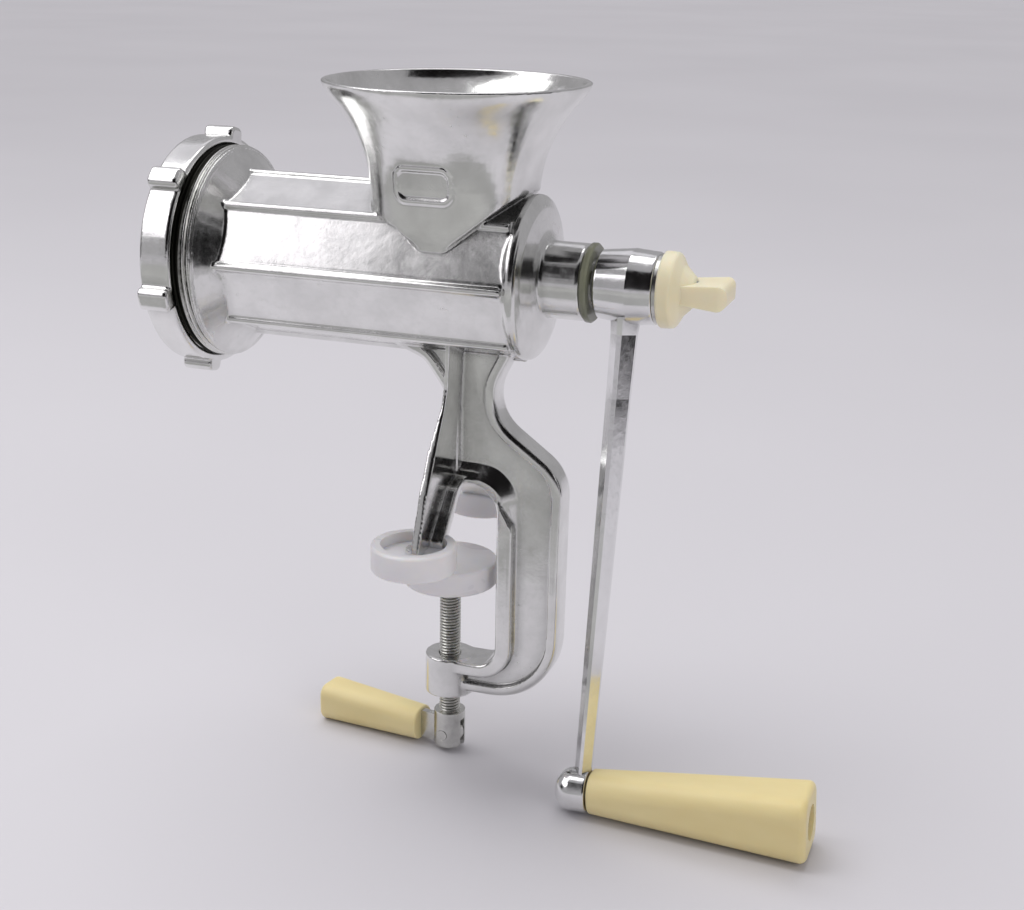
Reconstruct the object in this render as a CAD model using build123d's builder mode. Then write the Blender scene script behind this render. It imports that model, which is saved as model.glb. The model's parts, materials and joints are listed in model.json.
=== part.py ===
from build123d import *
import os
from math import atan2, cos, degrees, radians, sin

# A clamp-on hand crank meat grinder of the 70 mm plate size. Millimetres, +Z up.
# The origin lies on the clamp screw's axis, in the plane of the table top that the two foot pads stand on.
# The barrel lies along X, with its mouth at -X and the crank at +X.

os.makedirs("parts", exist_ok=True)

# Driving dimensions
axis_height = 104.0  # barrel axis above the table top
screw_turn_angle = 8.9  # rest angle of the folded screw handle about the clamp screw, degrees
crank_angle = 8.8  # rest angle of the crank from straight down towards the front, degrees
running_gap = 0.06  # radial clearance of a running fit
face_gap = 0.08  # free space between two faces that turn on each other

# Barrel
barrel_bore_radius = 25.5
barrel_corner_radius = 30.6
barrel_bead_radius = 1.5
barrel_front_x = -86.0
barrel_rear_x = 29.5
bore_end_x = 33.0

# Mouth and its thread
thread_pitch = 2.0
thread_crest_radius = 40.0
thread_root_radius = 38.8
mouth_front_x = -101.0
mouth_rear_x = -86.9
mouth_bore_radius = 35.15
chamber_end_x = -88.0
cone_end_x = -77.5
cone_end_radius = 25.5

# Ring nut
ring_front_x = -105.7
ring_rear_x = -93.3
ring_outer_radius = 43.0
ring_opening_radius = 31.5
ring_lip = 2.9
lug_count = 6
lug_reach_radius = 46.8
lug_width = 8.6
lug_phase = 45.0  # angle of one lug from the front (-Y) towards the top

# Cutting plate, its key pin and the knife
plate_radius = 35.0
plate_thickness = 5.5
plate_hole_radius = 2.5
plate_hole_rings = [(9.2, 6), (15.2, 12), (21.4, 18), (27.6, 24)]  # (ring radius, holes)
key_pin_radius = 2.0
key_pin_height = 34.6  # above the barrel axis
key_pin_length = 9.0
knife_thickness = 8.0
knife_reach = 31.4
knife_blade_width = 9.0
knife_blade_thickness = 5.0
knife_hub_radius = 11.0
stud_half_width = 4.5
stud_tip_radius = 4.4
stud_root_radius = 5.5
stud_root_length = 14.0

# Worm (auger)
flight_radius = 25.1
flight_pitch = 34.0
flight_share = 46.0  # degrees of the turn that the flight's section covers
flight_end_x = 26.0
worm_core_front_radius = 14.0
worm_core_rear_radius = 11.5
shaft_radius = 9.0
shaft_flat_half = 6.5
shaft_flat_start_x = 55.4
shaft_end_x = 76.9

# Rear bell, boss and bush
bell_radius = 29.9
bell_front_x = 26.0
bell_rim_x = 30.8
bell_rear_x = 34.4
boss_radius = 13.9
boss_root_x = 37.6
boss_end_x = 52.6
bush_radius = 11.4
bush_flange_radius = 14.3
bush_flange_end_x = 55.0
thrust_washer_thickness = 1.6
thrust_washer_radius = 17.0

# Crank
hub_front_x = 56.6
hub_seam_x = 68.9
hub_rear_x = 78.3
hub_front_radius = 12.2
hub_seam_radius = 13.6
hub_rear_radius = 12.9
arm_sections = [
    (3.0, 66.9, 5.8, 9.0),
    (17.0, 66.7, 4.7, 6.6),
    (40.0, 66.4, 4.3, 5.6),
    (181.0, 64.6, 3.1, 4.1),
]  # (distance from the barrel axis, x, half thickness along X, half width)
crank_radius = 188.0
knuckle_x = 64.6
grip_tilt = 3.1  # the grip's axle stands this far off the barrel axis, degrees
knuckle_radius = 8.3
knuckle_dome = 9.6
knuckle_face = 3.0
grip_length = 82.0
grip_small = 16.0
grip_large = 25.2
grip_small_corner = 7.2
grip_large_corner = 6.0
axle_radius = 3.5
axle_head_radius = 6.2
axle_head_height = 2.5
axle_head_recess = 4.0

# Crank washer and wing screw
washer_thickness = 1.2
washer_radius = 12.6
wing_root_x = hub_rear_x + washer_thickness + 2 * face_gap
wing_base_radius = 13.7
wing_rim_length = 5.0
wing_neck_radius = 5.2
wing_neck_length = 11.5
wing_end_x = 103.8
wing_half_span = 9.75
wing_root_half_thickness = 3.4
wing_tip_half_thickness = 4.7
wing_stud_radius = 3.9
wing_stud_front_x = 59.0
wing_stud_rear_x = 92.0

# Hopper
hopper_x = 1.3
rim_z = 172.4
rim_radius = 48.0
hopper_wall = 2.3
cartouche_height = 0.7
cartouche_centre = (0.0, 138.6)
cartouche_width = 22.0
cartouche_depth = 13.0
cartouche_corner = 4.5
cartouche_border = 1.5

# Clamp frame
frame_half = 6.0  # half thickness at the outer rim
flange_half = 8.5  # half width of the flange around the jaw
web_half = 3.4
rim_width = 4.2
flange_width = 6.1
shoulder_width = 6.9
shoulder_rise = 4.1  # how far the arch's shoulders stand out from the web
shoulder_end_z = -40.0
jaw_back_x = 21.5
jaw_top_z = 25.0
jaw_floor_z = -49.0
frame_bottom_z = -62.5

# Legs and foot pads
rib_thickness = 1.6
rib_face_x = 4.1  # the rib's face towards the crank, at the height of rib_base_z
rib_tilt = 2.2
leg_edge_steps = [(2.0, 25.0), (2.4, 21.0), (2.8, 17.0), (3.2, 13.5)]  # (thickness, top above rib_base_z)
rib_edge_top = (18.0, 32.0)  # upper end of the rib's slanting outer edge, across and up
rib_edge_low = (34.5, -3.0)  # lower end of that edge
leg_plate_front_x = -4.0
leg_plate_back_x = 8.3
foot_y = 36.6
foot_pad_radius = 15.8
foot_pad_height = 10.0
foot_pocket_radius = 12.2
foot_pocket_floor = 6.0
foot_peg_radius = 3.5
foot_peg_depth = 3.0

# Clamp screw, its pad and its folding handle
screw_radius = 4.2
screw_boss_radius = 9.7
screw_boss_top_z = -48.6
screw_boss_bottom_z = -64.8
clamp_pad_radius = 18.3
clamp_pad_top_z = -8.9
clamp_pad_bottom_z = -18.6
swivel_radius = 9.0
swivel_thickness = 2.5
swivel_bottom_z = -17.6
screw_neck_radius = 3.0
screw_head_radius = 4.6
screw_head_height = 2.4
clevis_radius = 6.2
clevis_top_z = -73.6
clevis_bottom_z = -89.2
clevis_slot = 3.2
pin_z = -83.2
pin_radius = 2.0
tongue_thickness = 2.6
tongue_height = 11.5
tongue_end = 24.0
clevis_slot_top_z = -77.0
handle_start = 12.6
handle_end = 58.4
handle_small = 13.4
handle_large = 15.6
handle_small_corner = 5.8
handle_large_corner = 4.6


def barrel_plane(x):
    """A plane square to the barrel axis at x; its own axes are +Y and +Z, its normal is +X."""
    return Plane(origin=(x, 0, axis_height), x_dir=(0, 1, 0), z_dir=(1, 0, 0))


def on_axis(profile):
    """Points (x, radius) as points of the XZ plane above the barrel axis."""
    return [(x, axis_height + radius) for x, radius in profile]


barrel_axis = Axis((0, 0, axis_height), (1, 0, 0))
screw_axis = Axis((0, 0, 0), (0, 0, 1))

# Housing: the clamp frame first, so that its rims can be rounded before the rest joins it
pillar_left_x = 1.0
frame_outline = [
    (34.0, 92.0, 0),
    (14.6, 54.0, 16.6),
    (46.4, 31.0, 18.5),
    (45.4, frame_bottom_z, 27.0),
    (0.0, frame_bottom_z, 0),
    (0.0, jaw_floor_z, 0),
    (jaw_back_x, jaw_floor_z, 8.0),
    (jaw_back_x, jaw_top_z, 12.0),
    (pillar_left_x, jaw_top_z, 0),
    (pillar_left_x, 56.0, 16.0),
    (-9.5, 70.5, 9.0),
    (-25.0, 76.5, 0),
    (-25.0, 92.0, 0),
]
flange_outline = [
    (3.0, jaw_floor_z, 0),
    (jaw_back_x, jaw_floor_z, 8.0),
    (jaw_back_x, jaw_top_z - 5.0, 0),
    (jaw_back_x + flange_width, jaw_top_z - 16.0, 6.0),
    (jaw_back_x + flange_width, jaw_floor_z - flange_width + 1.0, 13.0),
    (3.0, jaw_floor_z - flange_width + 1.0, 0),
]
shoulder_outline = [
    (pillar_left_x - shoulder_width, shoulder_end_z, 0),
    (pillar_left_x - shoulder_width, jaw_top_z + shoulder_width, 0),
    (jaw_back_x + shoulder_width, jaw_top_z + shoulder_width, 15.0),
    (jaw_back_x + shoulder_width, shoulder_end_z, 0),
]
jaw_outline = [
    (-30.0, jaw_floor_z, 0),
    (jaw_back_x, jaw_floor_z, 8.0),
    (jaw_back_x, jaw_top_z, 12.0),
    (-30.0, jaw_top_z, 0),
]


def rounded_outline(corners):
    """Add a face to the current sketch, from corners given as (first axis, second axis, fillet radius)."""
    with BuildLine() as outline:
        FilletPolyline(
            *[(across, up) for across, up, blend in corners],
            radius=[blend for across, up, blend in corners],
            close=True,
        )
    make_face(outline.edges())


with BuildPart() as clamp_frame:
    with BuildSketch(Plane.XZ.offset(-frame_half)):
        rounded_outline(frame_outline)
    extrude(amount=2 * frame_half)
    fillet(clamp_frame.edges().filter_by(Plane.XZ), radius=2.4)
    for side in (1, -1):
        with BuildSketch(Plane.XZ.offset(side * frame_half)):
            rounded_outline(frame_outline)
            offset(amount=-rim_width, mode=Mode.REPLACE)
        extrude(amount=-side * (frame_half - web_half), mode=Mode.SUBTRACT)

with BuildPart() as jaw_flange:
    with BuildSketch(Plane.XZ.offset(-flange_half)):
        rounded_outline(flange_outline)
    extrude(amount=2 * flange_half)
    fillet(jaw_flange.edges().filter_by(Plane.XZ), radius=0.9)

# The arch over the jaw has shoulders that slope from the web out to the edge of the flange
shoulder_slope = degrees(atan2(shoulder_width - 0.4, flange_half - web_half))
with BuildPart() as arch_shoulders:
    for side in (1, -1):
        with BuildSketch(Plane.XZ.offset(side * web_half)):
            rounded_outline(shoulder_outline)
        extrude(amount=side * shoulder_rise, taper=shoulder_slope)
    with BuildSketch(Plane.XZ.offset(-2 * flange_half)):
        rounded_outline(jaw_outline)
    extrude(amount=4 * flange_half, mode=Mode.SUBTRACT)

# Housing: the hopper is a funnel that is nearly square low down and round at the rim
hopper_sections = [
    (110.0, 25.6, 26.6, 16.5),
    (123.0, 26.4, 26.8, 17.5),
    (132.0, 27.8, 27.2, 18.5),
    (141.5, 29.4, 28.6, 21.0),
    (148.5, 31.8, 31.2, 25.0),
    (155.5, 35.6, 35.2, 31.0),
    (163.0, 41.2, 41.0, 38.5),
    (168.0, 45.6, 45.5, 44.0),
    (rim_z, rim_radius, rim_radius, rim_radius - 0.4),
]
throat_top_z = 135.0
throat_sections = [
    (109.0, 17.0, 14.0, 7.0),
    (125.0, 17.5, 15.0, 8.0),
    (130.5, 19.0, 17.6, 9.0),
]  # (z, half length along X, half width along Y, corner radius)
apron_tip = (2.6, 112.6)  # lowest point of the hopper's pointed apron on the barrel's side


def hopper_section(z, half_x, half_y, corner, inset):
    """A rounded rectangle across the hopper at height z, drawn inset by a wall."""
    section_plane = Plane.XY.offset(z)
    with BuildSketch(section_plane) as section:
        with Locations((hopper_x, 0)):
            RectangleRounded(2 * (half_x - inset), 2 * (half_y - inset), corner - inset)
    return section.sketch


with BuildPart() as hopper_outside:
    for z, half_x, half_y, corner in hopper_sections:
        add(hopper_section(z, half_x, half_y, corner, 0))
    loft()
    with BuildSketch(Plane.XZ.offset(-60)):
        rounded_outline([
            (-60.0, 90.0, 0),
            (-60.0, 126.5, 0),
            (-22.0, 126.5, 4.0),
            (-12.0, 123.2, 6.0),
            (*apron_tip, 1.0),
            (30.0, 134.8, 0),
            (60.0, 134.8, 0),
            (60.0, 90.0, 0),
        ])
    extrude(amount=120, mode=Mode.SUBTRACT)

with BuildPart() as hopper_inside:
    for z, half_x, half_y, corner in hopper_sections:
        if z > throat_top_z:
            add(hopper_section(z, half_x, half_y, corner, hopper_wall))
    loft()

# Hopper: the throat below the funnel, narrow enough to stay inside the barrel's slanting faces
with BuildPart() as hopper_throat:
    for z, half_x, half_y, corner in throat_sections:
        add(hopper_section(z, half_x, half_y, corner, 0))
    add(hopper_section(*hopper_sections[3], hopper_wall))
    loft(ruled=True)

# Housing: a blank cartouche, a raised border around a plain field, on the hopper's front
with BuildPart() as cartouche:
    for z, half_x, half_y, corner in hopper_sections:
        add(hopper_section(z, half_x, half_y, corner, -cartouche_height))
    loft()
    with BuildSketch(Plane.XZ.offset(hopper_sections[0][2] - hopper_wall - 2.0)):
        with Locations(cartouche_centre):
            RectangleRounded(cartouche_width, cartouche_depth, cartouche_corner)
            RectangleRounded(
                cartouche_width - 2 * cartouche_border,
                cartouche_depth - 2 * cartouche_border,
                cartouche_corner - cartouche_border,
                mode=Mode.SUBTRACT,
            )
    extrude(amount=20, mode=Mode.INTERSECT)

# Housing: cross rib and legs, drawn in the YZ plane for one side and repeated on the other
rib_base_z = 30.0
rib_plane = Plane(
    origin=(rib_face_x - rib_thickness / 2, 0, rib_base_z),
    x_dir=(0, 1, 0),
    z_dir=(cos(radians(rib_tilt)), 0, -sin(radians(rib_tilt))),
)
foot_local_z = foot_pocket_floor - rib_base_z
with BuildPart() as legs:
    with BuildSketch(rib_plane):
        for side in (1, -1):
            rounded_outline([
                (0, 58.0, 0),
                (side * 18.0, 58.0, 0),
                (side * 18.0, 32.0, 30.0),
                (side * 34.5, -3.0, 18.0),
                (side * 40.5, foot_local_z, 0),
                (side * 27.0, foot_local_z, 0),
                (side * 8.0, -4.0, 4.0),
                (0, -4.0, 0),
            ])
    extrude(amount=rib_thickness / 2, both=True)
    # The rib's outer edge thickens step by step towards the foot
    for thickness, top in leg_edge_steps:
        share = (rib_edge_top[1] - top) / (rib_edge_top[1] - rib_edge_low[1])
        top_y = rib_edge_top[0] + share * (rib_edge_low[0] - rib_edge_top[0])
        with BuildSketch(rib_plane.offset(rib_thickness / 2)):
            for side in (1, -1):
                rounded_outline([
                    (side * top_y, top, 0),
                    (side * rib_edge_low[0], rib_edge_low[1], 18.0),
                    (side * 40.5, foot_local_z, 0),
                    (side * 33.0, foot_local_z, 0),
                    (side * 30.0, -4.0, 12.0),
                ])
        extrude(amount=-thickness)
    with BuildSketch(Plane.YZ.offset(leg_plate_front_x)):
        for side in (1, -1):
            rounded_outline([
                (0, 30.0, 0),
                (side * 8.0, 27.0, 3.0),
                (side * 14.5, 25.0, 5.0),
                (side * 22.0, 17.0, 8.0),
                (side * 29.0, 8.5, 2.0),
                (side * 29.0, foot_pocket_floor, 0),
                (side * 25.5, foot_pocket_floor, 0),
                (side * 11.0, 22.5, 6.0),
                (side * 7.0, jaw_top_z, 2.0),
                (0, jaw_top_z, 0),
            ])
    extrude(amount=leg_plate_back_x - leg_plate_front_x)
    for side in (1, -1):
        with BuildSketch(Plane.XY.offset(foot_pocket_floor - foot_peg_depth)):
            with Locations((0, side * (foot_y - 1.0))):
                Circle(foot_peg_radius)
        extrude(amount=foot_peg_depth + 2.0)

with BuildPart() as housing:
    # Barrel: an octagonal prism with a bead along each corner
    with BuildSketch(barrel_plane(barrel_front_x)):
        RegularPolygon(barrel_corner_radius, 8)
        with PolarLocations(barrel_corner_radius - 0.4, 8):
            Circle(barrel_bead_radius)
    extrude(amount=barrel_rear_x - barrel_front_x)
    # Mouth cylinder with its thread and cone, the rear bell and the boss, all turned about the barrel axis
    mouth_profile = [(mouth_front_x, 0), (mouth_front_x, thread_root_radius)]
    ridge_x = mouth_front_x + thread_pitch / 2
    while ridge_x < mouth_rear_x - thread_pitch / 2:
        mouth_profile += [
            (ridge_x, thread_root_radius),
            (ridge_x + thread_pitch * 0.3, thread_crest_radius),
            (ridge_x + thread_pitch * 0.55, thread_crest_radius),
            (ridge_x + thread_pitch * 0.85, thread_root_radius),
        ]
        ridge_x += thread_pitch
    mouth_profile += [(mouth_rear_x, thread_root_radius), (cone_end_x, cone_end_radius), (cone_end_x, 0)]
    with BuildSketch(Plane.XZ):
        with BuildLine():
            Polyline(*on_axis(mouth_profile), close=True)
        make_face()
    revolve(axis=barrel_axis)
    bell_profile = [
        (bell_front_x, 0, 0),
        (bell_front_x, barrel_bore_radius, 0),
        (bell_rim_x - 2.0, 28.4, 2.5),
        (bell_rim_x, bell_radius, 1.4),
        (bell_rear_x - 1.0, bell_radius, 2.2),
        (bell_rear_x + 0.6, bell_radius - 4.5, 2.0),
        (bell_rear_x + 2.0, boss_radius + 3.4, 2.0),
        (boss_root_x, boss_radius, 1.2),
        (boss_end_x - 0.8, boss_radius, 0),
        (boss_end_x, boss_radius - 0.8, 0),
        (boss_end_x, 0, 0),
    ]
    with BuildSketch(Plane.XZ):
        rounded_outline([(x, axis_height + radius, blend) for x, radius, blend in bell_profile])
    revolve(axis=barrel_axis)
    add(hopper_outside.part)
    add(cartouche.part)
    add(clamp_frame.part)
    add(jaw_flange.part)
    add(arch_shoulders.part)
    add(legs.part)
    with BuildSketch(Plane.XY.offset(screw_boss_bottom_z)):
        Circle(screw_boss_radius)
    extrude(amount=screw_boss_top_z - screw_boss_bottom_z)
    add(hopper_inside.part, mode=Mode.SUBTRACT)
    add(hopper_throat.part, mode=Mode.SUBTRACT)
    # Bore, chamber for the knife and the cutting plate, and the shaft's hole through the boss
    bore_profile = [
        (mouth_front_x - 1, 0),
        (mouth_front_x - 1, mouth_bore_radius),
        (chamber_end_x, mouth_bore_radius),
        (chamber_end_x + 8.0, barrel_bore_radius),
        (bore_end_x, barrel_bore_radius),
        (bore_end_x, bush_radius),
        (boss_end_x + 1, bush_radius),
        (boss_end_x + 1, 0),
    ]
    with BuildSketch(Plane.XZ):
        with BuildLine():
            Polyline(*on_axis(bore_profile), close=True)
        make_face()
    revolve(axis=barrel_axis, mode=Mode.SUBTRACT)
    with BuildSketch(Plane.XY.offset(screw_boss_bottom_z - 1)):
        Circle(screw_radius + running_gap)
    extrude(amount=screw_boss_top_z - screw_boss_bottom_z + 2, mode=Mode.SUBTRACT)
    # Socket for the key pin that keeps the cutting plate from turning
    with BuildSketch(barrel_plane(mouth_front_x - 1)):
        with Locations((0, key_pin_height)):
            Circle(key_pin_radius)
    extrude(amount=key_pin_length + 1, mode=Mode.SUBTRACT)

housing.part.label = "housing"
export_step(housing.part, "parts/housing.step")


# Foot pads: cups pushed over the pegs of the two legs
for name, side in (("foot_pad_front", -1), ("foot_pad_back", 1)):
    with BuildPart() as foot_pad:
        with BuildSketch(Plane.XY):
            with Locations((0, side * foot_y)):
                Circle(foot_pad_radius)
        extrude(amount=foot_pad_height)
        fillet(foot_pad.edges().filter_by(GeomType.CIRCLE), radius=1.2)
        with BuildSketch(Plane.XY.offset(foot_pad_height)):
            with Locations((0, side * foot_y)):
                Circle(foot_pocket_radius)
        extrude(amount=foot_pocket_floor - foot_pad_height, mode=Mode.SUBTRACT)
        add(legs.part, mode=Mode.SUBTRACT)
    foot_pad.part.label = name
    export_step(foot_pad.part, f"parts/{name}.step")

# Rear bush: the shaft's bearing, pressed into the boss
with BuildPart() as rear_bush:
    with BuildSketch(Plane.XZ):
        with BuildLine():
            Polyline(
                *on_axis([
                    (bore_end_x, shaft_radius + running_gap),
                    (bore_end_x, bush_radius),
                    (boss_end_x, bush_radius),
                    (boss_end_x, bush_flange_radius - 0.5),
                    (boss_end_x + 0.5, bush_flange_radius),
                    (bush_flange_end_x - 0.7, bush_flange_radius),
                    (bush_flange_end_x, bush_flange_radius - 0.7),
                    (bush_flange_end_x, shaft_radius + running_gap),
                ]),
                close=True,
            )
        make_face()
    revolve(axis=barrel_axis)
rear_bush.part.label = "rear_bush"
export_step(rear_bush.part, "parts/rear_bush.step")

# Thrust washer between the worm's shoulder and the end of the bore
with BuildPart() as thrust_washer:
    with BuildSketch(barrel_plane(bore_end_x - thrust_washer_thickness)):
        Circle(thrust_washer_radius)
        Circle(shaft_radius + 0.3, mode=Mode.SUBTRACT)
    extrude(amount=thrust_washer_thickness)
thrust_washer.part.label = "thrust_washer"
export_step(thrust_washer.part, "parts/thrust_washer.step")

# Key pin that keeps the cutting plate from turning
with BuildPart() as plate_key_pin:
    with BuildSketch(barrel_plane(mouth_front_x)):
        with Locations((0, key_pin_height)):
            Circle(key_pin_radius)
    extrude(amount=key_pin_length)
plate_key_pin.part.label = "plate_key_pin"
export_step(plate_key_pin.part, "parts/plate_key_pin.step")

# Cutting plate: a perforated disc with a key slot in its edge, held by the ring nut's lip
plate_front_x = ring_front_x + ring_lip + face_gap
plate_rear_x = plate_front_x + plate_thickness
with BuildPart() as cutting_plate:
    with BuildSketch(barrel_plane(plate_front_x)):
        Circle(plate_radius)
        Circle(stud_tip_radius + running_gap, mode=Mode.SUBTRACT)
        for ring_radius, hole_count in plate_hole_rings:
            with PolarLocations(ring_radius, hole_count):
                Circle(plate_hole_radius, mode=Mode.SUBTRACT)
        with Locations((0, key_pin_height)):
            Circle(key_pin_radius + running_gap, mode=Mode.SUBTRACT)
        with Locations((0, key_pin_height + key_pin_radius)):
            Rectangle(2 * (key_pin_radius + running_gap), 2 * key_pin_radius, mode=Mode.SUBTRACT)
    extrude(amount=plate_thickness)
cutting_plate.part.label = "cutting_plate"
export_step(cutting_plate.part, "parts/cutting_plate.step")

# Knife: four blades on a hub with a square hole, flat against the plate
knife_front_x = plate_rear_x + face_gap
knife_rear_x = knife_front_x + knife_thickness
with BuildPart() as knife:
    with BuildSketch(barrel_plane(knife_front_x)):
        with PolarLocations(knife_reach / 2, 4):
            Rectangle(knife_reach, knife_blade_width)
        Circle(knife_reach, mode=Mode.INTERSECT)
    extrude(amount=knife_blade_thickness, taper=12)
    with BuildSketch(barrel_plane(knife_front_x)):
        Circle(knife_hub_radius)
    extrude(amount=knife_thickness)
    with BuildSketch(barrel_plane(knife_front_x)):
        Rectangle(2 * stud_half_width, 2 * stud_half_width)
    extrude(amount=knife_thickness, mode=Mode.SUBTRACT)
knife.part.label = "knife"
export_step(knife.part, "parts/knife.step")

# Knife stud: round root in the worm, square through the knife, round tip in the plate
with BuildPart() as knife_stud:
    with BuildSketch(barrel_plane(knife_rear_x)):
        Circle(stud_root_radius)
    extrude(amount=stud_root_length)
    with BuildSketch(barrel_plane(knife_front_x)):
        Rectangle(2 * stud_half_width, 2 * stud_half_width)
    extrude(amount=knife_thickness)
    with BuildSketch(barrel_plane(plate_front_x + 0.5)):
        Circle(stud_tip_radius)
    extrude(amount=knife_front_x - plate_front_x - 0.5)
knife_stud.part.label = "knife_stud"
export_step(knife_stud.part, "parts/knife_stud.step")

# Worm (auger): a tapered core with a helical flight, and the shaft that carries the crank
worm_rear_x = bore_end_x - thrust_washer_thickness - face_gap
with BuildSketch(barrel_plane(knife_rear_x)) as flight_section:
    with BuildLine():
        inner_radius = worm_core_rear_radius - 2.0
        RadiusArc(
            (inner_radius, 0),
            (inner_radius * cos(radians(flight_share)), inner_radius * sin(radians(flight_share))),
            -inner_radius,
        )
        Line(
            (inner_radius * cos(radians(flight_share)), inner_radius * sin(radians(flight_share))),
            (flight_radius * cos(radians(flight_share)), flight_radius * sin(radians(flight_share))),
        )
        RadiusArc(
            (flight_radius * cos(radians(flight_share)), flight_radius * sin(radians(flight_share))),
            (flight_radius, 0),
            flight_radius,
        )
        Line((flight_radius, 0), (inner_radius, 0))
    make_face()
flight_length = flight_end_x - knife_rear_x
flight = Solid.extrude_linear_with_rotation(
    flight_section.sketch.face(),
    center=(knife_rear_x, 0, axis_height),
    normal=(flight_length, 0, 0),
    angle=360.0 * flight_length / flight_pitch,
)
with BuildPart() as auger:
    with BuildSketch(Plane.XZ):
        with BuildLine():
            Polyline(
                *on_axis([
                    (knife_rear_x, 0),
                    (knife_rear_x, worm_core_front_radius),
                    (worm_rear_x - 4.0, worm_core_rear_radius),
                    (worm_rear_x - 3.0, thrust_washer_radius - 1.5),
                    (worm_rear_x, thrust_washer_radius - 1.5),
                    (worm_rear_x, shaft_radius),
                    (shaft_end_x - 0.8, shaft_radius),
                    (shaft_end_x, shaft_radius - 0.8),
                    (shaft_end_x, 0),
                ]),
                close=True,
            )
        make_face()
    revolve(axis=barrel_axis)
    add(flight)
    # Four flats on the shaft's end carry the crank
    with BuildSketch(barrel_plane(shaft_flat_start_x)):
        Circle(shaft_radius + 1)
        Rectangle(2 * shaft_flat_half, 2 * shaft_flat_half, rotation=-crank_angle, mode=Mode.SUBTRACT)
    extrude(amount=shaft_end_x - shaft_flat_start_x, mode=Mode.SUBTRACT)
    # Sockets for the knife stud and for the wing screw
    with BuildSketch(barrel_plane(knife_rear_x)):
        Circle(stud_root_radius)
    extrude(amount=stud_root_length, mode=Mode.SUBTRACT)
    with BuildSketch(barrel_plane(shaft_end_x)):
        Circle(wing_stud_radius + running_gap)
    extrude(amount=wing_stud_front_x - 2.0 - shaft_end_x, mode=Mode.SUBTRACT)
auger.part.label = "auger"
export_step(auger.part, "parts/auger.step")

# Crank arm: the hub on the shaft, the tapering arm and the knuckle that holds the grip's axle
arm_direction = (0, -sin(radians(crank_angle)), -cos(radians(crank_angle)))


def arm_plane(distance, x):
    """A plane square to the crank arm; its own first axis is +X, its normal points down the arm."""
    return Plane(
        origin=(x, distance * arm_direction[1], axis_height + distance * arm_direction[2]),
        x_dir=(1, 0, 0),
        z_dir=arm_direction,
    )


knuckle_centre = (
    knuckle_x,
    crank_radius * arm_direction[1],
    axis_height + crank_radius * arm_direction[2],
)
grip_direction = (cos(radians(grip_tilt)), 0, sin(radians(grip_tilt)))


def grip_plane(distance):
    """A plane square to the grip's axle; its own axes are +Y and up, its normal runs outwards along the axle."""
    origin = [start + distance * step for start, step in zip(knuckle_centre, grip_direction)]
    return Plane(origin=origin, x_dir=(0, 1, 0), z_dir=grip_direction)


with BuildPart() as crank_arm:
    for distance, x, half_thickness, half_width in arm_sections:
        with BuildSketch(arm_plane(distance, x)):
            Polygon(
                (half_thickness, -0.2 * half_width),
                (half_thickness, 0.2 * half_width),
                (0.2 * half_thickness, half_width),
                (-0.2 * half_thickness, half_width),
                (-half_thickness, 0.2 * half_width),
                (-half_thickness, -0.2 * half_width),
                (-0.2 * half_thickness, -half_width),
                (0.2 * half_thickness, -half_width),
                align=None,
            )
    loft(ruled=True)
    with BuildSketch(Plane.XZ):
        rounded_outline([
            (hub_front_x, axis_height, 0),
            (hub_front_x, axis_height + hub_front_radius, 1.2),
            (hub_seam_x, axis_height + hub_seam_radius, 0),
            (hub_rear_x, axis_height + hub_rear_radius, 1.0),
            (hub_rear_x, axis_height, 0),
        ])
    revolve(axis=barrel_axis)
    with BuildSketch(Plane(origin=knuckle_centre, x_dir=grip_direction, z_dir=(0, 1, 0))):
        rounded_outline([
            (-knuckle_dome, 0, 0),
            (-knuckle_dome, knuckle_radius, 0.75 * knuckle_radius),
            (knuckle_face, knuckle_radius, 0.8),
            (knuckle_face, 0, 0),
        ])
    revolve(axis=Axis(knuckle_centre, grip_direction))
    # Square hole for the shaft's end, and the axle's hole in the knuckle
    with BuildSketch(barrel_plane(hub_front_x)):
        Circle(shaft_radius)
        Rectangle(2 * shaft_flat_half, 2 * shaft_flat_half, rotation=-crank_angle, mode=Mode.INTERSECT)
    extrude(amount=hub_rear_x - hub_front_x, mode=Mode.SUBTRACT)
    with BuildSketch(grip_plane(-knuckle_face)):
        Circle(axle_radius)
    extrude(amount=2 * knuckle_face, mode=Mode.SUBTRACT)
crank_arm.part.label = "crank_arm"
export_step(crank_arm.part, "parts/crank_arm.step")

# Grip axle: a headed pin riveted into the knuckle
grip_start = knuckle_face + 0.5
grip_end = grip_start + grip_length
axle_head_start = grip_end - axle_head_recess
with BuildPart() as grip_axle:
    with BuildSketch(grip_plane(-knuckle_face)):
        Circle(axle_radius)
    extrude(amount=axle_head_start + knuckle_face)
    with BuildSketch(grip_plane(axle_head_start)):
        Circle(axle_head_radius)
    extrude(amount=axle_head_height)
    fillet(grip_axle.faces().sort_by(Axis.X)[-1].edges(), radius=1.2)
grip_axle.part.label = "grip_axle"
export_step(grip_axle.part, "parts/grip_axle.step")

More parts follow.
